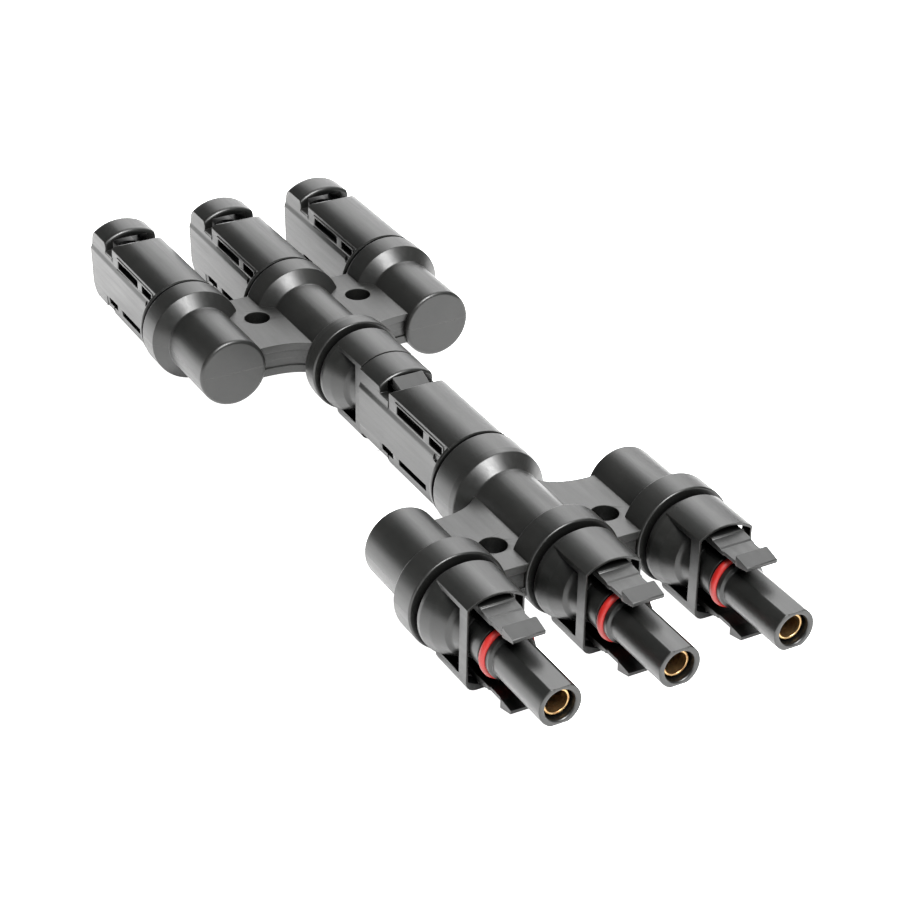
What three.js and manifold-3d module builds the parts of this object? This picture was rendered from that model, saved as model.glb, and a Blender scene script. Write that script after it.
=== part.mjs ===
// Mated pair of three-way branch connectors for solar cables, with 4 mm round contacts.
// The front branch carries three plugs and one receptacle shell, the rear branch one plug and three
// receptacle shells. The rear branch's plug is latched inside the front branch's shell.
import * as THREE from 'three';
import { mergeVertices } from 'three/addons/utils/BufferGeometryUtils.js';
import Module from 'manifold-3d';

const wasm = await Module();
wasm.setup();

// ---------------------------------------------------------------- driving dimensions, mm
// Y runs along the connector with the front noses towards -Y, Z is up, and stations are measured
// along Y from the tips of the front noses.
const PITCH = 23.15;            // between neighbouring ports
const COLLAR_R = 9.75;          // widest round section, half of the height
const TUBE_R = 7.2;             // closed tubes behind the ports
const GAP = 0.3;                // kept between pieces that touch
const PARTING = 0.15;           // half of the gap between the two half casings

const FRONT_RING = 34.2;        // casing's end at the front plugs
const FRONT_TRUNK_RING = 68.4;  // casing's end at the front branch's shell
const FRONT_SHELL = 69;         // flange of the front branch's shell
const REAR_PLUG = 84.1;         // nose tip of the rear branch's plug
const REAR_SHELLS = 151.5;      // flanges of the rear branch's shells

const NOSE_R = 4.08;            // plug nose that enters a shell
const NOSE_FLAT = 3.65;         // flats above and below the nose
const NOSE_BORE_R = 2.9;
const PLUG_FACE = 21.4;         // front rim of the plug's frame
const PLUG_FLANGE = 32.6;       // back of the plug's shoulder
const FRAME_HALF_W = 5.57;
const FRAME_R = 9.34;
const SPIGOT_R = 6.6;           // end of a plug or shell that is held in the casing
const SPIGOT_L = 8;
const ORING_Y = 17.55;          // O-ring's place on the nose

const SHELL_L = 36.2;           // receptacle shell, flange to tip
const SHELL_HALF_W = 5.8;
const SHELL_BELT_HALF_W = 6.25; // each side stands out below a step
const SHELL_BELT_Z = 3.8;       // height of that step
const SHELL_R = 9.6;
const HEAD_R = 9.25;
const WAY_FROM = 22.3;          // end of the way in for the latch arms
const NOTCH_FROM = 24.5;        // window that the latch barb snaps into
const NOTCH_TO = 28.2;
const NOTCH_FLOOR = 5.6;
const RAMP = [[20.9, 9.8], [24.6, 7.33]];  // slope of the dome down to the window
const BRIDGE_Z = 7.8;           // underside of the bridge that the barb hooks behind

const LATCH_HALF_W = 3.35;
const LATCH_TIP_HALF_W = 3.15;
const LATCH_TOP = 7.5;
const LATCH_UNDERSIDE = 6.2;
const LATCH_NECK = 18.2;        // step down to the thin neck behind the barb
const LATCH_NECK_TOP = 6.95;
const LATCH_TIP = 10.4;
const LATCH_CATCH = 14;         // back face of the barb
const LATCH_CATCH_TOP = 8.2;
const LATCH_ROOT = 31.4;

const PIN_R = 2;                // 4 mm contact system
const SOCKET_R = 2.6;
const BUS_HALF_T = 0.6;         // busbar strip
const BUS_HALF_W = 2;

const LENGTH = REAR_SHELLS + SHELL_L;

const FINE = 24;                // facets of large rounds
const MEDIUM = 16;
const COARSE = 12;

// ---------------------------------------------------------------- materials
const black = new THREE.MeshStandardMaterial({ color: 0x2b2c2b, roughness: 0.42, metalness: 0 });
const seal = new THREE.MeshStandardMaterial({ color: 0x101010, roughness: 0.7, metalness: 0 });
const red = new THREE.MeshStandardMaterial({ color: 0xc9251f, roughness: 0.5, metalness: 0 });
const brass = new THREE.MeshStandardMaterial({ color: 0xb08040, roughness: 0.3, metalness: 1 });
const tinned = new THREE.MeshStandardMaterial({ color: 0xb9bbbd, roughness: 0.3, metalness: 1 });

// ---------------------------------------------------------------- shape helpers
function enclosedVolume(place, corners) {
  const [a, b, c] = [new THREE.Vector3(), new THREE.Vector3(), new THREE.Vector3()];
  let sum = 0;
  for (let i = 0; i < corners.length; i += 3) {
    a.fromBufferAttribute(place, corners[i]);
    b.fromBufferAttribute(place, corners[i + 1]);
    c.fromBufferAttribute(place, corners[i + 2]);
    sum += a.dot(b.cross(c));
  }
  return sum / 6;
}

// A closed geometry as a solid, whichever way its faces were wound.
function solid(geometry) {
  geometry.deleteAttribute('normal');
  geometry.deleteAttribute('uv');
  const merged = mergeVertices(geometry, 1e-4);
  const index = merged.index.array;
  const corners = [];
  for (let i = 0; i < index.length; i += 3) {
    const [a, b, c] = [index[i], index[i + 1], index[i + 2]];
    if (a !== b && b !== c && c !== a) corners.push(a, b, c);
  }
  if (enclosedVolume(merged.attributes.position, corners) < 0) corners.reverse();
  return new wasm.Manifold(new wasm.Mesh({
    numProp: 3,
    vertProperties: new Float32Array(merged.attributes.position.array),
    triVerts: new Uint32Array(corners),
  }));
}

function union(solids) {
  return solids.reduce((sum, next) => sum.add(next));
}

function cut(body, tools) {
  return tools.reduce((rest, tool) => rest.subtract(tool), body);
}

// A profile of [radius, y] points turned about the Y axis through x.
function turned(profile, segments, x = 0) {
  const points = profile.map(([radius, y]) => new THREE.Vector2(radius, y));
  return solid(new THREE.LatheGeometry(points, segments).translate(x, 0, 0));
}

function rod(radius, y0, y1, segments, x = 0) {
  return turned([[0, y0], [radius, y0], [radius, y1], [0, y1]], segments, x);
}

function pipe(inner, outer, y0, y1, segments) {
  return turned([[inner, y0], [outer, y0], [outer, y1], [inner, y1], [inner, y0]], segments);
}

function box(x0, x1, y0, y1, z0, z1) {
  const geometry = new THREE.BoxGeometry(x1 - x0, y1 - y0, z1 - z0);
  return solid(geometry.translate((x0 + x1) / 2, (y0 + y1) / 2, (z0 + z1) / 2));
}

// A section in X and Z, extruded along Y from y0 to y1.
function along(section, y0, y1, curveSegments = 5) {
  const geometry = new THREE.ExtrudeGeometry(section, { depth: y1 - y0, bevelEnabled: false, curveSegments });
  return solid(geometry.rotateX(Math.PI / 2).translate(0, y1, 0));
}

// A plan outline in X and Y, extruded upwards from z0 to z1.
function upright(outline, z0, z1) {
  const geometry = new THREE.ExtrudeGeometry(outline, { depth: z1 - z0, bevelEnabled: false, curveSegments: 6 });
  return solid(geometry.translate(0, 0, z0));
}

// A side outline in Y and Z, extruded across X from -halfWidth to halfWidth.
function across(outline, halfWidth) {
  const geometry = new THREE.ExtrudeGeometry(outline, { depth: 2 * halfWidth, bevelEnabled: false });
  const turn = new THREE.Matrix4().makeBasis(
    new THREE.Vector3(0, 1, 0), new THREE.Vector3(0, 0, 1), new THREE.Vector3(1, 0, 0));
  return solid(geometry.applyMatrix4(turn).translate(-halfWidth, 0, 0));
}

function outlineOf(points) {
  return new THREE.Shape(points.map(([a, b]) => new THREE.Vector2(a, b)));
}

// Two flat sides at x = +-halfWidth, closed by arcs about the axis above and below.
function domedSection(halfWidth, radius) {
  const start = Math.acos(halfWidth / radius);
  const section = new THREE.Shape();
  section.absarc(0, 0, radius, start, Math.PI - start, false);
  section.absarc(0, 0, radius, Math.PI + start, 2 * Math.PI - start, false);
  return section;
}

function named(name, body, material) {
  const { vertProperties, triVerts } = body.getMesh();
  const geometry = new THREE.BufferGeometry();
  geometry.setAttribute('position', new THREE.BufferAttribute(vertProperties, 3));
  geometry.setIndex(new THREE.BufferAttribute(triVerts, 1));
  geometry.computeVertexNormals();
  const mesh = new THREE.Mesh(geometry, material);
  mesh.name = name;
  return mesh;
}

// ---------------------------------------------------------------- plug: nose, frame and shoulder
const DOME_INNER_R = 8.5;
const FRAME_BACK = 24.2;
const CHANNEL_HALF_W = 3.75;
const CHANNEL_FLOOR = 5.6;
const CHANNEL_END = LATCH_ROOT + GAP;

function plugSolid() {
  const nose = cut(
    turned([[0, 0], [3.7, 0], [NOSE_R, 0.4], [NOSE_R, 16.7], [3.5, 16.7], [3.5, 18.6], [4.95, 18.6],
      [4.95, FRAME_BACK], [0, FRAME_BACK]], MEDIUM),
    [box(-5, 5, -1, 15.5, NOSE_FLAT, 5), box(-5, 5, -1, 15.5, -5, -NOSE_FLAT)]);
  const bulb = turned([[0, FRAME_BACK - 0.7], [5.15, FRAME_BACK - 0.7], [6.1, 26.2], [7.4, 28.8], [8.7, 31.2],
    [9, PLUG_FLANGE], [SPIGOT_R, PLUG_FLANGE], [SPIGOT_R, PLUG_FLANGE + SPIGOT_L + 1.6],
    [0, PLUG_FLANGE + SPIGOT_L + 1.6]], FINE);
  const frame = along(domedSection(FRAME_HALF_W, FRAME_R), PLUG_FACE, PLUG_FLANGE - 0.4);
  const underDome = along(domedSection(FRAME_HALF_W + 0.1, DOME_INNER_R), FRAME_BACK, PLUG_FLANGE + 1);
  const recess = along(domedSection(FRAME_HALF_W - 1.1, DOME_INNER_R), PLUG_FACE - 1, FRAME_BACK + 0.1);
  const channel = along(domedSection(CHANNEL_HALF_W, DOME_INNER_R), FRAME_BACK - 1, CHANNEL_END)
    .subtract(box(-5, 5, FRAME_BACK - 2, CHANNEL_END + 1, -CHANNEL_FLOOR, CHANNEL_FLOOR));
  const shell = frame.subtract(underDome).subtract(recess);
  const body = union([shell, bulb.subtract(channel), nose]);
  return body.subtract(rod(NOSE_BORE_R, -1, PLUG_FLANGE + SPIGOT_L + 3, 20));
}

// ---------------------------------------------------------------- latch arm with barb
// The joined plug's barb sits further forward and stands higher in its window.
function latchSolid(reach, lift) {
  const tip = LATCH_TIP - reach;
  const barb = LATCH_CATCH - reach;
  const side = outlineOf([[LATCH_ROOT, LATCH_UNDERSIDE], [LATCH_ROOT, LATCH_TOP], [PLUG_FACE - 0.3, LATCH_TOP],
    [LATCH_NECK + 0.2, LATCH_NECK_TOP + 0.2], [LATCH_NECK, LATCH_NECK_TOP], [barb, LATCH_NECK_TOP],
    [barb, LATCH_CATCH_TOP + lift], [tip, LATCH_TOP], [tip, 6.7], [13.2, LATCH_UNDERSIDE]]);
  const half = [[LATCH_HALF_W, LATCH_ROOT], [LATCH_HALF_W, barb], [LATCH_TIP_HALF_W, tip]];
  const mirrored = half.map(([x, y]) => [-x, y]).reverse();
  return across(side, LATCH_HALF_W + 1).intersect(upright(outlineOf([...half, ...mirrored]), 0, COLLAR_R));
}

// ---------------------------------------------------------------- receptacle shell
const SHELL_BORE_R = 4.4;
const TUBE_END = 33.3;          // mouth of the inner tube that takes the nose
const COUNTERBORE_FROM = 31.5;
const COUNTERBORE_R = 5.1;
const UPPER_SLOTS = { spans: [[2.8, 7.8], [10.1, 20.7]], z: [4.8, 6.55] };
const LOWER_SLOTS = { spans: [[8.9, 19.8], [22.3, 26.8]], z: [-6.05, -4.8] };
const SLOT_FROM_X = 4.9;        // slots go this deep towards the axis

// Arcs above and below, joined by sides that stand out below a step.
function shellSection(radius) {
  const start = Math.acos(SHELL_HALF_W / radius);
  const side = [[SHELL_HALF_W, SHELL_BELT_Z + 0.25], [SHELL_BELT_HALF_W, SHELL_BELT_Z - 0.25],
    [SHELL_HALF_W + 0.2, -5.2]];
  const section = new THREE.Shape();
  section.absarc(0, 0, radius, start, Math.PI - start, false);
  for (const [x, z] of side) section.lineTo(-x, z);
  section.absarc(0, 0, radius, Math.PI + start, 2 * Math.PI - start, false);
  for (const [x, z] of side.reverse()) section.lineTo(x, z);
  return section;
}

function shellSolid() {
  const spigot = turned([[0, -SPIGOT_L], [SPIGOT_R, -SPIGOT_L], [SPIGOT_R, 0], [COLLAR_R - 0.2, 0],
    [COLLAR_R - 0.2, 1.2], [0, 1.2]], FINE);
  const dome = along(shellSection(SHELL_R), 0.5, NOTCH_FROM);
  const slope = outlineOf([...RAMP, [RAMP[1][0], 12], [RAMP[0][0], 12]]);
  const head = along(shellSection(HEAD_R), NOTCH_FROM - 0.5, SHELL_L);
  const innerTube = turned([[0, WAY_FROM - 1], [5.2, WAY_FROM - 1], [5.2, COUNTERBORE_FROM - 0.6],
    [5.55, COUNTERBORE_FROM - 0.6], [5.55, TUBE_END], [0, TUBE_END]], MEDIUM);
  const latchWay = box(-3.95, 3.95, WAY_FROM, TUBE_END, -BRIDGE_Z, BRIDGE_Z).subtract(innerTube);
  const mouth = along(domedSection(5.1, 8.7), TUBE_END, SHELL_L + 1)
    .intersect(box(-6, 6, TUBE_END, SHELL_L + 1, -BRIDGE_Z, BRIDGE_Z));
  const tools = [latchWay, mouth,
    rod(SHELL_BORE_R, 10, TUBE_END + 1, MEDIUM),
    rod(COUNTERBORE_R, COUNTERBORE_FROM, TUBE_END + 1, MEDIUM),
    rod(PIN_R + 0.9, -SPIGOT_L - 1, 10.5, COARSE)];
  tools.push(box(-8, 8, NOTCH_FROM, NOTCH_TO, NOTCH_FLOOR, 12));
  tools.push(box(-5, 5, NOTCH_FROM, NOTCH_TO, -12, -NOTCH_FLOOR));
  tools.push(across(slope, 8), across(slope, 8).mirror([0, 0, 1]));
  for (const { spans, z } of [UPPER_SLOTS, LOWER_SLOTS]) {
    for (const [from, to] of spans) {
      tools.push(box(-8, -SLOT_FROM_X, from, to, ...z), box(SLOT_FROM_X, 8, from, to, ...z));
    }
  }
  return cut(union([spigot, dome, head]), tools);
}

// ---------------------------------------------------------------- contacts, rings and busbars
function socketSolid(endY) {
  const bore = turned([[0, 4.5], [PIN_R + 0.25, 4.5], [PIN_R + 0.25, 8], [PIN_R + 0.45, 8], [PIN_R + 0.45, 16],
    [PIN_R + 0.25, 16], [PIN_R + 0.25, 24], [0, 24]], COARSE);
  return rod(SOCKET_R, 5, endY, COARSE).subtract(bore);
}

function contactSpringSolid() {
  return pipe(PIN_R + 0.13, PIN_R + 0.33, 8.3, 15.7, COARSE);
}

function pinSolid(rearY) {
  return turned([[0, rearY], [SOCKET_R, rearY], [SOCKET_R, 9], [PIN_R, 9.6], [PIN_R, 24.8], [1.5, 25.8],
    [0, 26.2]], COARSE);
}

function ringSolid(major, minor) {
  const profile = Array.from({ length: 9 }, (_, step) => {
    const angle = step % 8 * Math.PI / 4;
    return [major + minor * Math.cos(angle), minor * Math.sin(angle)];
  });
  return turned(profile, MEDIUM);
}

// A strip across all three ports, with a tab towards each port contact and one towards the trunk.
function busbarSolid(strip, trunkEnd, grow) {
  const [from, to] = strip;
  const halfT = BUS_HALF_T + grow;
  const halfW = BUS_HALF_W + grow;
  const cross = box(-PITCH - halfW, PITCH + halfW, from - grow, to + grow, -halfT, halfT);
  const [y0, y1] = trunkEnd > to ? [to - 0.5, trunkEnd + grow] : [trunkEnd - grow, from + 0.5];
  return cross.add(box(-halfW, halfW, y0, y1, -halfT, halfT));
}

// ---------------------------------------------------------------- casings
// t runs inwards from the port ring; the trunk leaves on the far side towards the single port.
const CASING_BORE_R = SPIGOT_R + 0.35;
const WEB_HALF_T = 3.4;
const HOLE_R = 2.6;

function casingSolid(spec) {
  const { ring, toward, collarEnd, tubeEnd, webEnd, trunkRing, coneFrom, holeT, bus } = spec;
  const y = (t) => ring + toward * t;
  const trunkL = Math.abs(trunkRing - ring);
  const parts = [];
  const bores = [];
  for (const x of [-PITCH, 0, PITCH]) {
    parts.push(turned([[0, y(0)], [COLLAR_R - 0.3, y(0)], [COLLAR_R, y(0.3)], [COLLAR_R, y(collarEnd)],
      [TUBE_R + 1, y(collarEnd + 0.9)], [TUBE_R, y(collarEnd + 2)], [TUBE_R, y(tubeEnd - 0.5)],
      [TUBE_R - 0.5, y(tubeEnd)], [0, y(tubeEnd)]], FINE, x));
    bores.push(rod(CASING_BORE_R, y(-1), y(spec.boreDepth), MEDIUM, x));
    bores.push(rod(SOCKET_R + 0.4, y(spec.boreDepth - 1), spec.contactEnd, COARSE, x));
  }
  parts.push(turned([[0, y(10)], [TUBE_R, y(10)], [TUBE_R, y(coneFrom)], [COLLAR_R - 0.25, y(coneFrom + 2.3)],
    [COLLAR_R, y(coneFrom + 3.2)], [COLLAR_R, y(trunkL - 0.3)], [COLLAR_R - 0.3, y(trunkL)],
    [0, y(trunkL)]], FINE));
  bores.push(rod(CASING_BORE_R, y(trunkL + 1), y(trunkL - spec.trunkBore), MEDIUM));
  bores.push(rod(SOCKET_R + 0.4, y(trunkL - spec.trunkBore + 1), spec.trunkContactEnd, COARSE));
  const web = new THREE.Shape();
  web.moveTo(-PITCH, y(0.4));
  web.lineTo(PITCH, y(0.4));
  web.lineTo(PITCH, y(webEnd));
  web.lineTo(PITCH - TUBE_R + 1, y(webEnd));
  web.quadraticCurveTo(TUBE_R + 2, y(webEnd - 0.2), TUBE_R - 0.8, y(coneFrom + spec.webRun));
  web.lineTo(-TUBE_R + 0.8, y(coneFrom + spec.webRun));
  web.quadraticCurveTo(-TUBE_R - 2, y(webEnd - 0.2), -PITCH + TUBE_R - 1, y(webEnd));
  web.lineTo(-PITCH, y(webEnd));
  parts.push(upright(web, -WEB_HALF_T, WEB_HALF_T));
  for (const side of [-1, 1]) {
    const hole = new THREE.CylinderGeometry(HOLE_R, HOLE_R, 4 * WEB_HALF_T, MEDIUM).rotateX(Math.PI / 2);
    bores.push(solid(hole.translate(side * PITCH / 2, y(holeT), 0)));
  }
  return cut(union(parts), [...bores, busbarSolid(bus.strip, bus.trunkEnd, 0.3)]);
}

const FRONT_BUS = { strip: [47.2, 51.2], trunkEnd: 53.7 };
const REAR_BUS = { strip: [133.9, 137.9], trunkEnd: 131.4 };

const FRONT_CASING = {
  ring: FRONT_RING, toward: 1, collarEnd: 5.8, tubeEnd: 22.1, webEnd: 20.8, trunkRing: FRONT_TRUNK_RING,
  coneFrom: 24.1, webRun: 0.6, holeT: 8.5, boreDepth: 9, contactEnd: 47, trunkBore: 8.2, trunkContactEnd: 53.9,
  bus: FRONT_BUS,
};
const REAR_CASING = {
  ring: REAR_SHELLS - 0.6, toward: -1, collarEnd: 6, tubeEnd: 24, webEnd: 22.8, trunkRing: REAR_PLUG + FRONT_RING,
  coneFrom: 26.1, webRun: -0.3, holeT: 10.2, boreDepth: 8.2, contactEnd: 138.1, trunkBore: 9,
  trunkContactEnd: 131.2, bus: REAR_BUS,
};

function addCasing(group, prefix, spec) {
  const whole = casingSolid(spec);
  const far = 120;
  const upper = box(-far, far, -far, 2 * far, PARTING, far);
  const lower = box(-far, far, -far, 2 * far, -far, -PARTING);
  group.add(named(`${prefix}_case_top`, whole.intersect(upper), black));
  group.add(named(`${prefix}_case_bottom`, whole.intersect(lower), black));
  group.add(named(`${prefix}_busbar`, busbarSolid(spec.bus.strip, spec.bus.trunkEnd, 0), tinned));
}

// ---------------------------------------------------------------- assembled ports
// A plug with everything that sits on it; the nose tip is at (x, station).
function addPlug(group, prefix, suffix, x, station, socketEnd, { ring, reach, lift }) {
  const place = new THREE.Group();
  place.position.set(x, station, 0);
  place.add(named(`${prefix}_plug${suffix}`, plugSolid(), black));
  for (const [end, turn] of [['top', 0], ['bottom', Math.PI]]) {
    const latch = named(`${prefix}_latch${suffix}_${end}`, latchSolid(reach, lift), black);
    latch.rotation.y = turn;
    place.add(latch);
  }
  const oring = named(`${prefix}_oring${suffix}`, ringSolid(ring.major, ring.minor), red);
  oring.position.y = ORING_Y;
  place.add(oring);
  place.add(named(`${prefix}_socket${suffix}`, socketSolid(socketEnd - station), brass));
  place.add(named(`${prefix}_contact_spring${suffix}`, contactSpringSolid(), tinned));
  const washer = pipe(CASING_BORE_R + 0.1, COLLAR_R - 1.65, PLUG_FLANGE + GAP, FRONT_RING - GAP, MEDIUM);
  place.add(named(`${prefix}_plug_seal${suffix}`, washer, seal));
  group.add(place);
}

// A receptacle shell with its pin; the flange is at (x, station).
function addShell(group, prefix, suffix, x, station, pinEnd) {
  const place = new THREE.Group();
  place.position.set(x, station, 0);
  place.add(named(`${prefix}_shell${suffix}`, shellSolid(), black));
  place.add(named(`${prefix}_pin${suffix}`, pinSolid(pinEnd - station), brass));
  group.add(place);
}

const FREE = { ring: { major: 4.6, minor: 0.77 }, reach: 0, lift: 0 };
const JOINED = { ring: { major: 4.33, minor: 0.52 }, reach: 1.25, lift: 0.4 };
const PORTS = [['_left', -PITCH], ['_center', 0], ['_right', PITCH]];

const group = new THREE.Group();
group.position.set(0, -LENGTH / 2, COLLAR_R);

addCasing(group, 'front', FRONT_CASING);
for (const [suffix, x] of PORTS) {
  addPlug(group, 'front', suffix, x, 0, FRONT_BUS.strip[0] - GAP, FREE);
}
addShell(group, 'front', '', 0, FRONT_SHELL, FRONT_BUS.trunkEnd + GAP);

addCasing(group, 'rear', REAR_CASING);
addPlug(group, 'rear', '', 0, REAR_PLUG, REAR_BUS.trunkEnd - GAP, JOINED);
for (const [suffix, x] of PORTS) {
  addShell(group, 'rear', suffix, x, REAR_SHELLS, REAR_BUS.strip[1] + GAP);
}

export default group;
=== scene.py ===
import math

import bmesh
import bpy
from mathutils import Matrix, Vector


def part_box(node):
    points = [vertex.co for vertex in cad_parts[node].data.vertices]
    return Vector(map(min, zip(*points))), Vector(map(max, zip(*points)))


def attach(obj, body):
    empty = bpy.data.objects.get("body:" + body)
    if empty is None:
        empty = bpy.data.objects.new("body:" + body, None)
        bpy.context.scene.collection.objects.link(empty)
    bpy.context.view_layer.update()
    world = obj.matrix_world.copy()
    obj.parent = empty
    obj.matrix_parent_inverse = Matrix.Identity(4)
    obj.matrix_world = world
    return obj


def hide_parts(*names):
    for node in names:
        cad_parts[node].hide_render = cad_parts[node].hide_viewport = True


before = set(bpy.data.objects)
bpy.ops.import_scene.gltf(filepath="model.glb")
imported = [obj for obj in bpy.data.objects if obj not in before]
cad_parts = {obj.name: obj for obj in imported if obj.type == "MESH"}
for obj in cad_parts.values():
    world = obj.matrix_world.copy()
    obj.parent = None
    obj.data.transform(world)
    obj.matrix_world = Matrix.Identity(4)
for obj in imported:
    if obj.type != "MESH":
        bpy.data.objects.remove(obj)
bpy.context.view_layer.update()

# Shapes are drawn in millimetres about a port's axis, x across, y along the connector and z up, and are
# then put where the frame has the CAD node. y counts from a plug's nose tip or from a shell's flange.
MM = 0.001
AROUND = 96                      # steps round a turned piece
ARC_STEPS = 26                   # steps along each long arc of an outline
SIDES = ("left", "center", "right")

# Moulded edges and shading, in degrees
EDGE_ANGLE = 30                  # edges sharper than this are rounded
SHADE_ANGLE = 42                 # edges sharper than this are shaded sharp


# ------------------------------------------------------------------ places, read from the frame
def low(node):
    return Vector(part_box(node)[0])


def high(node):
    return Vector(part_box(node)[1])


def axis_start(node):
    """The point on a node's axis at its lowest y."""
    point = (low(node) + high(node)) / 2
    point.y = low(node).y
    return point


AXIS = axis_start("front_plug_center")
PITCH = (axis_start("front_plug_right").x - AXIS.x) / MM
SPIGOT = 8                       # length of a spigot behind a shell's flange or a plug's shoulder


# ------------------------------------------------------------------ outlines
def rounded(points, closed=True, steps=5):
    """Corners (a, b, radius) become arcs, and corners (a, b) stay sharp."""
    result = []
    count = len(points)
    for i, point in enumerate(points):
        here = Vector(point[:2])
        radius = point[2] if len(point) > 2 else 0
        if radius == 0 or (not closed and i in (0, count - 1)):
            result.append((here.x, here.y))
            continue
        back = Vector(points[i - 1][:2]) - here
        ahead = Vector(points[(i + 1) % count][:2]) - here
        half = back.angle(ahead) / 2
        reach = min(radius / math.tan(half), 0.48 * back.length, 0.48 * ahead.length)
        radius = reach * math.tan(half)
        centre = here + (back.normalized() + ahead.normalized()).normalized() * (radius / math.sin(half))
        start = here + back.normalized() * reach - centre
        end = here + ahead.normalized() * reach - centre
        first = math.atan2(start.y, start.x)
        turn = (math.atan2(end.y, end.x) - first + math.pi) % (2 * math.pi) - math.pi
        for k in range(steps + 1):
            angle = first + turn * k / steps
            result.append((centre.x + radius * math.cos(angle), centre.y + radius * math.sin(angle)))
    return result


def arc(radius, first, last, steps):
    angles = [first + (last - first) * k / steps for k in range(steps + 1)]
    return [(radius * math.cos(angle), radius * math.sin(angle)) for angle in angles]


def domed(half_width, radius):
    """Flat sides joined by arcs above and below."""
    first = math.acos(half_width / radius)
    above = arc(radius, first, math.pi - first, ARC_STEPS)
    return above + arc(radius, math.pi + first, 2 * math.pi - first, ARC_STEPS)


def rectangle(a0, a1, b0, b1, radius):
    return rounded([(a0, b0, radius), (a1, b0, radius), (a1, b1, radius), (a0, b1, radius)], steps=4)


# ------------------------------------------------------------------ solids
def mesh_object(name, points, faces):
    mesh = bpy.data.meshes.new(name)
    mesh.from_pydata([(x * MM, y * MM, z * MM) for x, y, z in points], [], faces)
    piece = bpy.data.objects.new(name, mesh)
    bpy.context.scene.collection.objects.link(piece)
    outward(mesh)
    return piece


def outward(mesh):
    """Turns a closed mesh the right way out, by the sign of its volume."""
    volume = 0.0
    for polygon in mesh.polygons:
        corners = [mesh.vertices[v].co for v in polygon.vertices]
        for second, third in zip(corners[1:], corners[2:]):
            volume += corners[0].dot(second.cross(third))
    if volume < 0:
        mesh.flip_normals()


def turned(profile, x=0.0, around=AROUND):
    """(radius, y) points turned about y. A profile that starts off the axis closes on itself."""
    points, rings = [], []
    for radius, y in profile:
        angles = [2 * math.pi * k / around for k in range(around)] if radius > 1e-6 else [0.0]
        rings.append([len(points) + k for k in range(len(angles))])
        points += [(x + radius * math.sin(angle), y, radius * math.cos(angle)) for angle in angles]
    pairs = list(zip(rings, rings[1:]))
    if profile[0][0] > 1e-6:
        pairs.append((rings[-1], rings[0]))
    faces = []
    for one, other in pairs:
        for k in range(around):
            n = (k + 1) % around
            corners = [one[k % len(one)], one[n % len(one)], other[n % len(other)], other[k % len(other)]]
            face = list(dict.fromkeys(corners))
            if len(face) > 2:
                faces.append(face)
    return mesh_object("turned", points, faces)


def rod(radius, y0, y1, x=0.0, around=48):
    return turned([(0, y0), (radius, y0), (radius, y1), (0, y1)], x, around)


CARRY = {
    "x": lambda a, b, t: (t, a, b),
    "y": lambda a, b, t: (a, t, b),
    "z": lambda a, b, t: (a, b, t),
}


def prism(outline, start, end, along="y"):
    """A closed outline carried along an axis: (x, z) along y, (x, y) along z, or (y, z) along x."""
    place = CARRY[along]
    count = len(outline)
    points = [place(a, b, t) for t in (start, end) for a, b in outline]
    faces = [list(range(count)), list(range(2 * count - 1, count - 1, -1))]
    faces += [[k, k + count, (k + 1) % count + count, (k + 1) % count] for k in range(count)]
    return mesh_object("prism", points, faces)


def block(x0, x1, y0, y1, z0, z1):
    return prism([(x0, y0), (x1, y0), (x1, y1), (x0, y1)], z0, z1, "z")


def settle(piece):
    """Applies a piece's modifiers."""
    shape = bpy.data.meshes.new_from_object(piece.evaluated_get(bpy.context.evaluated_depsgraph_get()))
    old = piece.data
    piece.modifiers.clear()
    piece.data = shape
    bpy.data.meshes.remove(old)


def combine(body, tools, operation):
    for tool in tools:
        step = body.modifiers.new("boolean", "BOOLEAN")
        step.operation = operation
        step.solver = "MANIFOLD"
        step.object = tool
    settle(body)
    for tool in tools:
        bpy.data.objects.remove(tool)
    return body


def join(body, *tools):
    return combine(body, tools, "UNION")


def cut(body, *tools):
    return combine(body, tools, "DIFFERENCE")


def overlap(body, *tools):
    return combine(body, tools, "INTERSECT")


def soften(piece, width, seam=None):
    """Rounds a moulded piece's edges and shades it smooth.

    A casing half keeps its edges in the plane z = seam and its hollow corners sharp.
    """
    shape = bmesh.new()
    shape.from_mesh(piece.data)
    bmesh.ops.remove_doubles(shape, verts=shape.verts, dist=0.001 * MM)
    bmesh.ops.triangulate(shape, faces=[face for face in shape.faces if len(face.verts) > 4])
    weight = shape.edges.layers.float.new("bevel_weight_edge")
    for edge in shape.edges:
        kept = seam is not None and (
            not edge.is_convex or all(abs(v.co.z / MM - seam) < 0.005 for v in edge.verts))
        if not kept and edge.is_manifold and edge.calc_face_angle() > math.radians(EDGE_ANGLE):
            edge[weight] = 1.0
    shape.to_mesh(piece.data)
    shape.free()
    bevel = piece.modifiers.new("bevel", "BEVEL")
    bevel.width = width * MM
    bevel.segments = 2
    bevel.limit_method = "WEIGHT"
    bevel.use_clamp_overlap = False
    bevel.loop_slide = seam is None
    bevel.miter_outer = "MITER_ARC"
    settle(piece)
    return smooth(piece)


def smooth(piece):
    piece.data.shade_smooth()
    piece.data.set_sharp_from_angle(angle=math.radians(SHADE_ANGLE))
    normals = piece.modifiers.new("normals", "WEIGHTED_NORMAL")
    normals.keep_sharp = True
    return piece


def put(piece, name, place, body, slot, *nodes):
    """Names a piece, puts it in its place and ties it to the frame."""
    piece.name = name
    piece.data.name = name
    piece.data.transform(Matrix.Translation(place))
    piece.data.materials.clear()
    piece.data.materials.append(MATERIALS[slot])
    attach(piece, body)
    if nodes:
        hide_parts(*nodes)


def copy_of(piece):
    twin = piece.copy()
    twin.data = piece.data.copy()
    bpy.context.scene.collection.objects.link(twin)
    return twin


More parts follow.
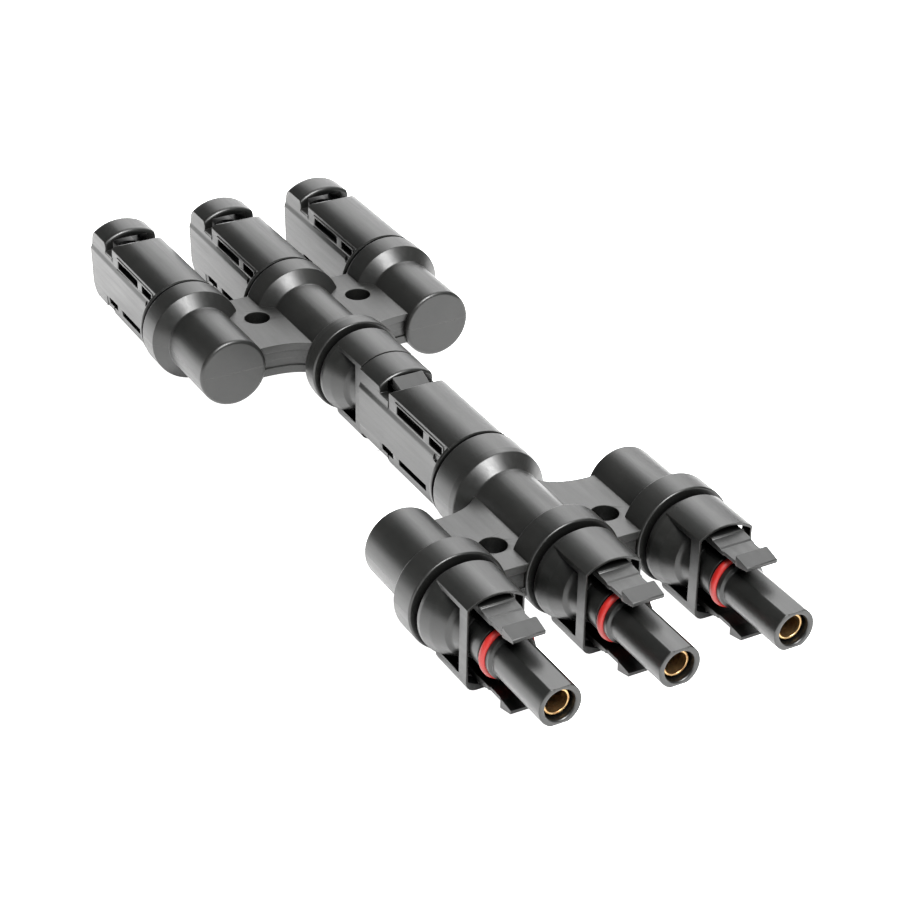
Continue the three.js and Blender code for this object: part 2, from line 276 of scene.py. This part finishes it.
# ------------------------------------------------------------------ materials
class Nodes:
    """A short way to write a node tree."""

    def __init__(self, material):
        material.use_nodes = True
        self.tree = material.node_tree
        self.shader = self.tree.nodes["Principled BSDF"]

    def add(self, kind, inputs=None, **settings):
        node = self.tree.nodes.new("ShaderNode" + kind)
        for key, value in settings.items():
            setattr(node, key, value)
        for key, value in (inputs or {}).items():
            self.feed(node, key, value)
        return node

    def feed(self, node, key, value):
        if isinstance(value, bpy.types.NodeSocket):
            self.tree.links.new(value, node.inputs[key])
        else:
            node.inputs[key].default_value = value

    def noise(self, scale, detail, roughness=0.5, vector=None):
        inputs = {"Scale": scale, "Detail": detail, "Roughness": roughness, "Vector": vector or self.place()}
        return self.add("TexNoise", inputs).outputs["Fac"]

    def place(self):
        return self.add("TexCoord").outputs["Object"]

    def stretched(self, x, y, z):
        return self.add("Mapping", {"Vector": self.place(), "Scale": (x, y, z)}).outputs["Vector"]

    def levels(self, value, low_in, high_in, low_out=0.0, high_out=1.0):
        inputs = {"Value": value, "From Min": low_in, "From Max": high_in,
                  "To Min": low_out, "To Max": high_out}
        return self.add("MapRange", inputs).outputs["Result"]

    def sum(self, *values):
        total = values[0]
        for value in values[1:]:
            total = self.add("Math", {0: total, 1: value}, operation="ADD").outputs[0]
        return total

    def mix(self, amount, one, other):
        node = self.add("Mix", data_type="RGBA")
        self.feed(node, 0, amount)
        self.feed(node, 6, one)
        self.feed(node, 7, other)
        return node.outputs[2]

    def open_to_light(self, reach):
        """One on open faces, falling to nought deep inside slots and hollows; it masks where shade is
        painted.
        """
        seen = self.add("AmbientOcclusion", {"Distance": reach * MM}, samples=4).outputs["AO"]
        return self.levels(seen, 0.3, 0.72)

    def edges(self, radius):
        """Nought on open faces, rising to one on edges sharper than the radius in mm."""
        soft = self.add("Bevel", {"Radius": radius * MM}, samples=4).outputs["Normal"]
        true = self.add("NewGeometry").outputs["Normal"]
        along = self.add("VectorMath", {0: soft, 1: true}, operation="DOT_PRODUCT").outputs["Value"]
        return self.levels(along, 0.985, 0.9)

    def bump(self, *layers):
        """Layers of (height, depth in mm), one over the other."""
        normal = None
        for height, depth in layers:
            inputs = {"Height": height, "Distance": depth * MM, "Strength": 1.0}
            if normal is not None:
                inputs["Normal"] = normal
            normal = self.add("Bump", inputs).outputs["Normal"]
        self.feed(self.shader, "Normal", normal)


def plastic(name, dark, light, roughness, hollow):
    """Moulded nylon: spark-eroded grain, flow marks along the tool, edges lightened by wear and by a painted
    highlight, scratches and dust.

    Shade is painted into its hollows, darkening colour and reflection, as far in as the distance hollow, in
    mm.
    """
    material = bpy.data.materials.new(name)
    n = Nodes(material)
    cloud = n.levels(n.noise(90, 4, 0.6), 0.35, 0.7)
    flow = n.noise(1, 5, 0.6, n.stretched(900, 60, 900))
    fine = n.noise(5200, 2, 0.6)
    colour = n.mix(cloud, dark, light)
    edge_wear_and_highlight = n.edges(0.3)
    rubbed_and_highlight = n.add("Math", {0: edge_wear_and_highlight, 1: n.levels(n.noise(700, 3, 0.7), 0.3, 0.75, 0.25, 1)},
                   operation="MULTIPLY").outputs[0]
    # Edges are lightened towards three times the light tone: wear from handling and a painted highlight along
    # them.
    colour = n.mix(rubbed_and_highlight, colour, tuple(3.2 * c for c in light[:3]) + (1,))
    scratches = n.add("TexVoronoi", {"Scale": 1, "Vector": n.stretched(2200, 130, 2200)},
                      feature="DISTANCE_TO_EDGE").outputs["Distance"]
    dots = n.add("TexVoronoi", {"Scale": 420, "Randomness": 1, "Vector": n.place()}, feature="F1")
    near = n.levels(dots.outputs["Distance"], 0.045, 0.02)
    chosen = n.levels(dots.outputs["Color"], 0.9, 0.93)
    speck = n.add("Math", {0: near, 1: chosen}, operation="MULTIPLY").outputs[0]
    colour = n.mix(speck, colour, (0.16, 0.16, 0.15, 1))
    # Painted shade: hollows get a darker base colour and weaker reflections, by ambient occlusion.
    lit = n.open_to_light(hollow)
    n.feed(n.shader, "Base Color", n.mix(lit, tuple(0.25 * c for c in dark[:3]) + (1,), colour))
    n.feed(n.shader, "Specular IOR Level", n.levels(lit, 0, 1, 0.12, 0.5))
    n.feed(n.shader, "Roughness", n.sum(n.levels(flow, 0.3, 0.7, roughness - 0.045, roughness + 0.045),
                                        n.levels(fine, 0.3, 0.7, -0.02, 0.02),
                                        n.levels(edge_wear_and_highlight, 0, 1, 0, -0.05)))
    n.bump((fine, 0.0012), (flow, 0.004), (n.levels(scratches, 0, 0.03, 0, 1), 0.0008))
    return material


def rubber(name, dark, light, roughness):
    material = bpy.data.materials.new(name)
    n = Nodes(material)
    fine = n.noise(2600, 3, 0.6)
    bloom = n.levels(n.noise(500, 4, 0.6), 0.35, 0.75)
    n.feed(n.shader, "Base Color", n.mix(bloom, dark, light))
    n.feed(n.shader, "Roughness", n.levels(bloom, 0, 1, roughness - 0.05, roughness + 0.08))
    n.bump((fine, 0.006))
    return material


def metal(name, dark, light, roughness, along=True):
    """Turned or rolled metal with fine tool marks and a light tarnish."""
    material = bpy.data.materials.new(name)
    n = Nodes(material)
    n.shader.inputs["Metallic"].default_value = 1.0
    stretch = (300, 9000, 300) if along else (9000, 300, 9000)
    marks = n.noise(1, 3, 0.6, n.stretched(*stretch))
    tarnish = n.levels(n.noise(600, 4, 0.65), 0.35, 0.72)
    n.feed(n.shader, "Base Color", n.mix(tarnish, light, dark))
    n.feed(n.shader, "Roughness", n.sum(n.levels(marks, 0.3, 0.7, roughness - 0.06, roughness + 0.06),
                                        n.levels(tarnish, 0, 1, 0, 0.12)))
    n.bump((marks, 0.003))
    return material


# The last number of each plastic is how far painted shade reaches into its hollows, in mm.
MATERIALS = {
    "casing": plastic("casing_plastic", (0.0075, 0.0078, 0.0073, 1), (0.0115, 0.0116, 0.0108, 1), 0.36, 6),
    "housing": plastic("housing_plastic", (0.0065, 0.0068, 0.0064, 1), (0.0105, 0.0107, 0.01, 1), 0.34, 8.5),
    "latch": plastic("latch_plastic", (0.009, 0.0094, 0.009, 1), (0.014, 0.0143, 0.0137, 1), 0.4, 6),
    "oring": rubber("oring_rubber", (0.24, 0.004, 0.0025, 1), (0.31, 0.008, 0.0045, 1), 0.45),
    "seal": rubber("seal_rubber", (0.005, 0.005, 0.005, 1), (0.01, 0.01, 0.01, 1), 0.6),
    "contact": metal("contact_brass", (0.26, 0.13, 0.055, 1), (0.55, 0.39, 0.19, 1), 0.34),
    "contact_spring": metal("spring_steel", (0.42, 0.42, 0.41, 1), (0.66, 0.66, 0.65, 1), 0.26),
    "busbar": metal("busbar_brass", (0.42, 0.26, 0.1, 1), (0.72, 0.52, 0.24, 1), 0.3, along=False),
}


# ------------------------------------------------------------------ plug
FRAME_HALF_W = 5.57
FRAME_R = 9.34                   # radius of its arched top, and how far its flat bottom lies below the axis
RING_Y = 17.55                   # where the O-ring sits on the nose
SHOULDER_Y = 32.6                # rear face of the plug's shoulder


def frame_outline():
    """Arched top, flat sides and a flat bottom with rounded corners."""
    first = math.acos(FRAME_HALF_W / FRAME_R)
    corners = arc(FRAME_R, first, math.pi - first, ARC_STEPS)
    corners += [(-FRAME_HALF_W, -FRAME_R, 2), (FRAME_HALF_W, -FRAME_R, 2)]
    return rounded(corners)


def plug_shape():
    """Nose with a groove for its O-ring, open frame, and a bulb-shaped shoulder with a spigot behind."""
    nose = turned(rounded([
        (0, 0), (4.08, 0, 0.22), (4.08, 15.3, 0.3), (4.7, 15.7, 0.2), (4.7, 16.8, 0.15), (3.5, 16.8),
        (3.5, 18.6), (5, 18.6, 0.25), (5, 24.2), (0, 24.2)], closed=False))
    cut(nose, *[block(-6, 6, -1, 14.9, side * 3.65, side * 6) for side in (1, -1)])
    bulb = turned(rounded([
        (0, 23.2), (5.3, 23.2, 0.2), (5.3, 24.3, 0.8), (5.9, 26.1, 1), (6.8, 26.7, 0.5), (8.3, 29.4, 4),
        (9.1, 31.6, 1), (9.1, SHOULDER_Y, 0.25), (6.6, SHOULDER_Y), (6.6, 42.2), (0, 42.2)], closed=False))
    frame_block = prism(frame_outline(), 21.4, 32.2)
    opening = overlap(prism(domed(5.7, 8.55), 24.0, 34), block(-8, 8, 23, 35, -7.4, 12))
    cut(frame_block, opening, prism(domed(5.15, 8.8), 20, 24.1))
    channels = [overlap(prism(domed(3.75, 8.6), 23, 31.8), block(-5, 5, 22, 33, z0, z1))
                for z0, z1 in ((5.6, 10), (-10, -5.6))]
    hollows = [prism([(23, up * 3.9), (29.8, up * 7.2), (29.8, up * 12), (23, up * 12)], -8, 8, "x")
               for up in (1, -1)]
    cut(bulb, *channels, *hollows)
    body = join(frame_block, bulb, nose)
    bore = [(0, -1), (3.15, -1), (3.15, 0), (2.92, 0.25), (2.92, 44), (0, 44)]
    cut(body, turned(rounded(bore, closed=False)))
    return soften(body, 0.1)


def oring_shape(major, minor):
    angles = [2 * math.pi * k / 24 for k in range(24)]
    ring = [(major + minor * math.cos(angle), minor * math.sin(angle)) for angle in angles]
    shape = turned(ring, around=72)
    shape.data.shade_smooth()
    return shape


def seal_shape():
    section = rounded([(7.05, 0.3, 0.2), (8.1, 0.3, 0.3), (8.1, 1.3, 0.3), (7.05, 1.3, 0.2)])
    return soften(turned(section), 0.05)


# ------------------------------------------------------------------ latch
def latch_shape(reach=0.0, lift=0.0):
    """Arm with a lip where it leaves the frame, a thin neck and a wedge-shaped barb.

    A latched arm's barb stands forward by reach and up by lift.
    """
    catch, tip = 14.0 - reach, 10.4 - reach
    side = prism(rounded([
        (31.4, 6.3), (31.4, 7.5), (21.5, 7.5, 0.1), (21.35, 7.72, 0.1), (21.0, 7.72, 0.1), (20.8, 7.44, 0.3),
        (18.5, 7.16, 0.2), (18.2, 6.95, 0.1), (catch, 6.95, 0.1), (catch, 8.2 + lift, 0.12), (tip, 7.5, 0.25),
        (tip, 6.75, 0.15), (13.2, 6.25, 1), (17.6, 6.2, 1)]), -5, 5, "x")
    half = [(3.35, 31.4), (3.35, 17.6), (3.1, 17.3), (3.1, catch), (3.3, catch - 0.3), (3.15, tip)]
    overlap(side, prism(half + [(-x, y) for x, y in reversed(half)], 0, 12, "z"))
    return soften(side, 0.07)


# ------------------------------------------------------------------ receptacle shell
# Narrow slots in the shell's sides, above and below the axis, each from one y to another
UPPER_SLOTS = ((2.8, 7.8), (10.1, 20.7))
LOWER_SLOTS = ((8.9, 19.8), (22.3, 26.8))
DOME_R = 9.6
WINDOW = (24.5, 28.2)            # the opening that shows the barb, from the dome's slope to the head
WINDOW_FLOOR = 5.6               # how far from the axis the windows end
WAY_HALF_W = 3.95                # the latch way, beside the inner tube
WAY_Z = 7.8
TUBE_R = 5.2                     # outside of the inner tube that takes the nose
NOSE_BORE_R = 4.4
COUNTERBORE_R = 5.1
PIN_BORE_R = 2.9
SHELL_HALF_W = 5.8


def shell_section(radius):
    """Arcs above and below; each side stands out below a soft step near its top."""
    first = math.acos(SHELL_HALF_W / radius)
    half = [(SHELL_HALF_W, -radius * math.sin(first), 0.35), (6.0, -5.2, 2), (6.2, 3.2, 1.2),
            (5.84, 4.15, 1.2), (SHELL_HALF_W, radius * math.sin(first), 0.35)]
    corners = half + arc(radius, first, math.pi - first, ARC_STEPS)[1:-1]
    corners += [(-x, z, r) for x, z, r in reversed(half)]
    corners += arc(radius, math.pi + first, 2 * math.pi - first, ARC_STEPS)[1:-1]
    return rounded(corners, steps=4)


def shell_shape(length=36.2, tip=2.4, inner=34.6, sill=8.1, crown=9.5):
    """Flange, domed body with its latch windows, and the head round the mouth.

    tip is the mouth's outer radius, inner the end of the inner tube, sill the height of the slope where it
    meets the window, and crown the radius of the head.
    """
    window_start, window_end = WINDOW
    dome = overlap(
        prism(shell_section(DOME_R), 0.4, window_start),
        turned([(0, 0), (9.61, 0), (9.61, window_start), (0, window_start)]))
    head = overlap(
        prism(shell_section(crown + 0.05), 24, length),
        turned(rounded([
            (0, 23), (WAY_Z, 23), (WAY_Z, window_end), (crown, window_end, 1.7), (crown, length, tip),
            (0, length)], closed=False)))
    sides = overlap(prism(shell_section(9.25), 19, 31), block(-8, 8, 18, 32, -7.1, 5.7))
    flange = turned(rounded([
        (0, -SPIGOT), (6.6, -SPIGOT, 0.3), (6.6, 0), (8.7, 0), (8.7, 0.35), (9.5, 0.35, 0.2),
        (9.5, 1.25, 0.3), (7.6, 1.25), (0, 1.25)], closed=False))
    rims = [overlap(prism(rectangle(2.3, 21.7, 4.35, 7.0, 0.3), side * 5, side * 6.02, "x"),
                    prism(domed(6.5, 9.5), 0, 24)) for side in (1, -1)]
    body = join(flange, dome, head, sides, *rims)
    tube = turned(rounded([
        (0, 20), (TUBE_R, 20), (TUBE_R, 30.9, 0.2), (5.55, 30.9, 0.1), (5.55, inner, 0.3), (0, inner)],
        closed=False))
    between = join(tube, block(-5, 5, 20, inner, -5, 5))
    way = cut(block(-WAY_HALF_W, WAY_HALF_W, 22.3, inner, -WAY_Z, WAY_Z), between)
    mouth = overlap(prism(domed(5.1, 8.7), inner, 38), block(-6, 6, inner, 38, -WAY_Z, WAY_Z))
    bores = [rod(NOSE_BORE_R, 10, inner + 0.7, around=64), rod(COUNTERBORE_R, 30.4, inner + 0.7, around=64),
             rod(PIN_BORE_R, -9, 10.5)]
    windows = [block(-8, 8, *WINDOW, WINDOW_FLOOR, 12), block(-5, 5, *WINDOW, -12, -WINDOW_FLOOR)]
    for up in (1, -1):
        slope = [(20.6, 9.9), (20.9, 9.8), (24.6, sill), (24.6, 12), (20.6, 12)]
        windows.append(prism([(y, up * z) for y, z in slope], -8, 8, "x"))
    slots = [block(side * 4.9, side * 8, a, b, 4.8, 6.55) for side in (1, -1) for a, b in UPPER_SLOTS]
    slots += [block(side * 4.9, side * 8, a, b, -6.05, -4.8) for side in (1, -1) for a, b in LOWER_SLOTS]
    pockets = [prism(rectangle(2.2, 5.8, 2.5, 4.0, 0.5), side * 5.8, side * 8, "x") for side in (1, -1)]
    cut(body, way, mouth, *bores, *windows, *slots, *pockets)
    return soften(body, 0.12)


# ------------------------------------------------------------------ contacts
def socket_shape(length):
    """A sleeve with a groove round it, closed at the back, whose wide part holds the spring."""
    return soften(turned(rounded([
        (2.1, 1.3, 0.15), (2.6, 1.3, 0.2), (2.6, 16, 0.1), (2.45, 16.2, 0.1), (2.45, 16.8, 0.1),
        (2.6, 17, 0.1), (2.6, length, 0.2), (0.05, length), (0.05, 24), (2.25, 24), (2.25, 16), (2.45, 16),
        (2.45, 8), (2.1, 8)]), around=64), 0.05)


def pin_shape(start):
    return soften(turned(rounded([
        (0, start), (2.6, start, 0.3), (2.6, 8.8, 0.3), (2, 9.5, 0.3), (2, 24.4, 0.6), (1.45, 25.6, 0.5),
        (0, 26.2)], closed=False), around=64), 0.05)


LAMELLAE = 12


def spring_shape():
    """A cage of bowed lamellae between two rings."""
    outer = turned([(2.36, 8.3), (2.36, 15.7), (2.3, 15.7), (2.3, 15.0), (2.2, 13.6), (2.15, 12), (2.2, 10.4),
                    (2.3, 9.0), (2.3, 8.3)], around=60)
    slits = []
    for k in range(LAMELLAE):
        slit = block(-0.17, 0.17, 9.2, 14.8, 0, 4)
        slit.data.transform(Matrix.Rotation(2 * math.pi * k / LAMELLAE, 4, "Y"))
        slits.append(slit)
    return soften(cut(outer, *slits), 0.02)


# ------------------------------------------------------------------ casings
COLLAR_R = 9.75
BARREL_R = 7.2                   # the tubes between the collars
SPIGOT_BORE_R = 6.95
CONTACT_BORE_R = 3
SCREW_HOLE_R = 2.6
SEAM = 0.01                      # each half stops this far from the parting plane

# Distances from the face that carries the outer ports, towards the trunk's far end
CASINGS = {
    "front": dict(toward=1, collar=[(COLLAR_R, 5.7, 0.4), (BARREL_R, 7.9, 0.7)], tube=22.1, web=20.8,
                  cone=24.1, run=0.6, hole=8.5, bore=9, contact=12.8, trunk_bore=8.2, bar=(13, 17),
                  trunk_contact=19.7),
    "rear": dict(toward=-1, collar=[(COLLAR_R, 5.4, 0.35), (BARREL_R, 8.0, 0.6)], tube=24, web=22.8,
                 cone=26.1, run=-0.3, hole=10.2, bore=8.2, contact=12.8, trunk_bore=9, bar=(13, 17),
                 trunk_contact=19.7),
}


def web_outline(spec, inset):
    """Plan of the web. Its free rear edges curve from the outer tubes into the trunk."""
    inner, outer = BARREL_R, PITCH - BARREL_R
    half = [(0, 0.4 + inset), (PITCH, 0.4 + inset), (PITCH, spec["web"] - inset),
            (outer + 1, spec["web"] - inset)]
    start = Vector((outer + 1, spec["web"] - inset))
    bend = Vector((inner + 2, spec["web"] - 0.2 - inset))
    end = Vector((inner - 0.8, spec["cone"] + spec["run"] - inset))
    for k in range(1, 15):
        t = k / 14
        point = start * (1 - t) ** 2 + bend * 2 * t * (1 - t) + end * t * t
        half.append((point.x, point.y))
    return half + [(-x, y) for x, y in reversed(half[1:])]


def casing_shape(spec, trunk):
    """Three collared tubes, the trunk that carries the single port, and the webs between them."""
    def y(t):
        return spec["toward"] * t

    def facing(profile):
        return [(p[0], y(p[1])) + tuple(p[2:]) for p in profile]

    tubes, bores = [], []
    for x in (-PITCH, 0, PITCH):
        profile = [(0, 0), (COLLAR_R, 0, 0.4), *spec["collar"], (BARREL_R, spec["tube"], 0.8),
                   (0, spec["tube"])]
        tubes.append(turned(rounded(facing(profile), closed=False), x))
        bores += [rod(SPIGOT_BORE_R, y(-1), y(spec["bore"]), x),
                  rod(CONTACT_BORE_R, y(spec["bore"] - 1), y(spec["contact"]), x)]
    cone = spec["cone"]
    tubes.append(turned(rounded(facing([
        (0, 12), (BARREL_R, 12), (BARREL_R, cone, 0.7), (9.62, cone + 2.5, 0.6), (COLLAR_R, cone + 4, 0.6),
        (COLLAR_R, trunk, 0.4), (0, trunk)]), closed=False)))
    bores += [rod(SPIGOT_BORE_R, y(trunk + 1), y(trunk - spec["trunk_bore"])),
              rod(CONTACT_BORE_R, y(trunk - spec["trunk_bore"] + 1), y(spec["trunk_contact"]))]
    plates = []
    for start, end, inset in ((1.8, 3.4, 0), (-3.4, -1.6, 0), (-1.7, 1.9, 0.35)):
        outline = [(x, y(t)) for x, t in web_outline(spec, inset)]
        plates.append(prism(outline, start, end, "z"))
    body = join(*tubes, *plates)
    for side in (-1, 1):
        x, t = side * PITCH / 2, spec["hole"]
        rim = arc(SCREW_HOLE_R, 0, 2 * math.pi * 47 / 48, 47)
        bores.append(prism([(x + a, y(t) + b) for a, b in rim], -6, 6, "z"))
    bar = spec["bar"]
    bores += [block(-PITCH - 2.3, PITCH + 2.3, *sorted((y(bar[0] - 0.3), y(bar[1] + 0.3))), -0.9, 0.9),
              block(-2.3, 2.3, *sorted((y(bar[1] - 0.5), y(spec["trunk_contact"] + 0.1))), -0.9, 0.9)]
    return cut(body, *bores)


def add_casing(prefix):
    """Two half casings, and the frame's own busbar with its edges rounded."""
    spec = CASINGS[prefix]
    node = f"{prefix}_case_top"
    trunk = (high(node).y - low(node).y) / MM
    whole = casing_shape(spec, trunk)
    ring = Vector((AXIS.x, low(node).y if spec["toward"] > 0 else high(node).y, AXIS.z))
    for end, z0, z1, seam in (("top", SEAM, 12, SEAM), ("bottom", -12, -SEAM, -SEAM)):
        half = overlap(copy_of(whole), block(-60, 60, -60, 60, z0, z1))
        soften(half, 0.18, seam)
        put(half, f"{prefix}_casing_{end}", ring, f"{prefix}_branch", "casing", f"{prefix}_case_{end}")
    bpy.data.objects.remove(whole)
    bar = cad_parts[f"{prefix}_busbar"]
    bar.data.materials.clear()
    bar.data.materials.append(MATERIALS["busbar"])
    bar.modifiers.new("weld", "WELD")
    bevel = bar.modifiers.new("bevel", "BEVEL")
    bevel.width, bevel.segments = 0.1 * MM, 2


# ------------------------------------------------------------------ assembly
def add_plug(plug, latch, prefix, suffix, latches, ring_size):
    """A plug's housing, its latch arms on the bodies named by latches, its seals, socket and spring."""
    node = f"{prefix}_plug{suffix}"
    tip = axis_start(node)
    body = f"{prefix}_branch"
    put(copy_of(plug), f"{prefix}_plug_housing{suffix}", tip, body, "housing", node)
    for end, turn in (("top", 0), ("bottom", math.pi)):
        arm = copy_of(latch)
        arm.data.transform(Matrix.Rotation(turn, 4, "Y"))
        put(arm, f"{prefix}_snap_latch{suffix}_{end}", tip, f"{latches}_{end}", "latch",
            f"{prefix}_latch{suffix}_{end}")
    ring_place = tip + Vector((0, RING_Y * MM, 0))
    put(oring_shape(*ring_size), f"{prefix}_seal_ring{suffix}", ring_place, body, "oring",
        f"{prefix}_oring{suffix}")
    shoulder = tip + Vector((0, SHOULDER_Y * MM, 0))
    put(seal_shape(), f"{prefix}_flange_washer{suffix}", shoulder, body, "seal",
        f"{prefix}_plug_seal{suffix}")
    node = f"{prefix}_socket{suffix}"
    put(socket_shape((high(node).y - tip.y) / MM), f"{prefix}_socket_contact{suffix}", tip, body,
        "contact", node)
    put(spring_shape(), f"{prefix}_lamella_cage{suffix}", tip, body, "contact_spring",
        f"{prefix}_contact_spring{suffix}")


def add_shell(shell, prefix, suffix):
    """A receptacle shell and its pin."""
    node = f"{prefix}_shell{suffix}"
    flange = axis_start(node) + Vector((0, SPIGOT * MM, 0))
    put(copy_of(shell), f"{prefix}_receptacle{suffix}", flange, f"{prefix}_branch", "housing", node)
    pin = f"{prefix}_pin{suffix}"
    put(pin_shape((low(pin).y - flange.y) / MM), f"{prefix}_contact_pin{suffix}", flange, f"{prefix}_branch",
        "contact", pin)


FREE_RING = (4.6, 0.77)          # radius of the ring and of its section
PRESSED_RING = (4.33, 0.52)      # squeezed inside the joined shell

add_casing("front")
add_casing("rear")
plug_mould, latch_mould, shell_mould = plug_shape(), latch_shape(), shell_shape()
joined_latch = latch_shape(reach=1.25, lift=0.4)
joined_shell = shell_shape(length=36.4, tip=0.2, inner=33.3, sill=7.33, crown=9.2)
for side in SIDES:
    add_plug(plug_mould, latch_mould, "front", f"_{side}", f"latch_{side}", FREE_RING)
    add_shell(shell_mould, "rear", f"_{side}")
add_plug(plug_mould, joined_latch, "rear", "", "latch_joined", PRESSED_RING)
add_shell(joined_shell, "front", "")
for mould in (plug_mould, latch_mould, shell_mould, joined_latch, joined_shell):
    bpy.data.objects.remove(mould)


# ------------------------------------------------------------------ floor, light and camera
def add_floor():
    bpy.ops.mesh.primitive_plane_add(size=6)
    floor = bpy.context.object
    floor.name = "floor"
    material = bpy.data.materials.new("pale_floor")
    n = Nodes(material)
    n.feed(n.shader, "Base Color", n.mix(n.noise(3, 2), (0.86, 0.86, 0.855, 1), (0.89, 0.89, 0.885, 1)))
    n.shader.inputs["Roughness"].default_value = 0.9
    n.shader.inputs["Specular IOR Level"].default_value = 0.2
    n.shader.inputs["Emission Color"].default_value = (1, 1, 1, 1)
    n.shader.inputs["Emission Strength"].default_value = 1.2
    floor.data.materials.append(material)


def add_panel(name, direction, distance, size, radiance):
    """A soft square light seen from the object in a direction, aimed at it."""
    light = bpy.data.lights.new(name, "AREA")
    light.size = size
    light.energy = radiance * math.pi * size * size
    panel = bpy.data.objects.new(name, light)
    panel.location = Vector(direction).normalized() * distance
    panel.rotation_euler = Vector(direction).to_track_quat("Z", "Y").to_euler()
    bpy.context.scene.collection.objects.link(panel)


VIEW = [math.radians(turn) for turn in (-29.27, 30.35, 0.84)]    # azimuth, elevation and roll
TARGET = (1.08, -13.65, 9.75)
CAMERA_DISTANCE = 481.3
SENSOR_WIDTH = 36
LENS = 100.58
KEY_DIRECTION = (-0.02, -0.56, 0.8)


def add_camera():
    azimuth, elevation, roll = VIEW
    back = Vector((math.sin(azimuth) * math.cos(elevation), -math.cos(azimuth) * math.cos(elevation),
                   math.sin(elevation)))
    level = Vector((math.cos(azimuth), math.sin(azimuth), 0))
    upright = back.cross(level)
    right = level * math.cos(roll) + upright * math.sin(roll)
    up = back.cross(right)
    target = Vector(TARGET) * MM
    camera = bpy.data.cameras.new("camera")
    camera.sensor_width = SENSOR_WIDTH
    camera.lens = LENS
    camera.clip_start, camera.clip_end = 0.01, 20
    viewer = bpy.data.objects.new("camera", camera)
    turn = Matrix((right, up, back)).transposed()
    viewer.matrix_world = Matrix.Translation(target + back * CAMERA_DISTANCE * MM) @ turn.to_4x4()
    bpy.context.scene.collection.objects.link(viewer)
    bpy.context.scene.camera = viewer


def add_world(strength):
    world = bpy.data.worlds.new("studio")
    world.use_nodes = True
    world.node_tree.nodes["Background"].inputs["Color"].default_value = (1, 1, 1, 1)
    world.node_tree.nodes["Background"].inputs["Strength"].default_value = strength
    bpy.context.scene.world = world


add_floor()
add_world(0.12)
add_panel("key_light", KEY_DIRECTION, 0.9, 0.52, 16)
add_panel("key_core", KEY_DIRECTION, 0.85, 0.2, 44)
add_panel("top_panel", (0.46, 0.36, 0.82), 0.9, 0.75, 3.4)
add_panel("rear_panel", (0.45, 0.8, 0.42), 1.2, 0.9, 2.4)
add_camera()
bpy.context.scene.view_settings.view_transform = "Standard"
